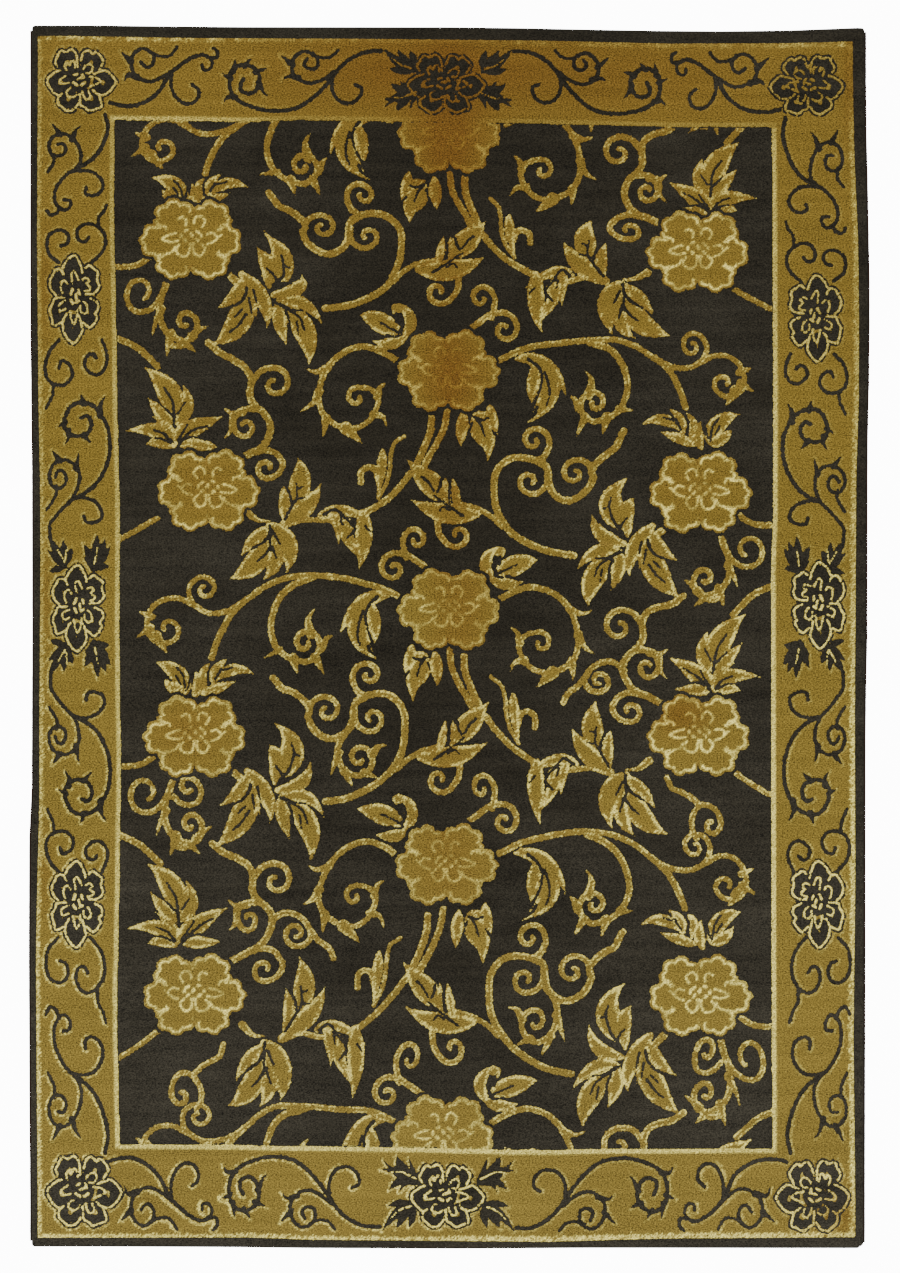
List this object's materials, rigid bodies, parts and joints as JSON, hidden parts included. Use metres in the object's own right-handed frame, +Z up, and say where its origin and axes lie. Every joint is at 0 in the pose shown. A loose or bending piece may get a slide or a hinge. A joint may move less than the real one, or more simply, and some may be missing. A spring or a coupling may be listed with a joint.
{
  "type": "oushak rug",
  "caption": "Flat hand-knotted wool rug with a charcoal vine and flower field, a gold scroll border and overcast side cords.",
  "frame": {"origin": "middle of the rug on the floor that it lies on", "axes": "+X to the rug's right side, +Y to its top end, +Z up out of the pile"},
  "size_m": [1.7107, 2.491, 0.01],
  "materials": {
    "charcoal_pile": "short cut wool pile, charcoal, with faint streaks across",
    "gold_pile": "short cut wool pile, old gold, streaked and shading to orange brown",
    "pale_pile": "short cut wool pile, pale straw, used for outlines",
    "overcast_wool": "reddish-brown wool yarn, wrapped closely"
  },
  "bodies": {
    "root": {"rug_body": "charcoal_pile", "side_cord_left": "overcast_wool", "side_cord_right": "overcast_wool"}
  },
  "joints": []
}
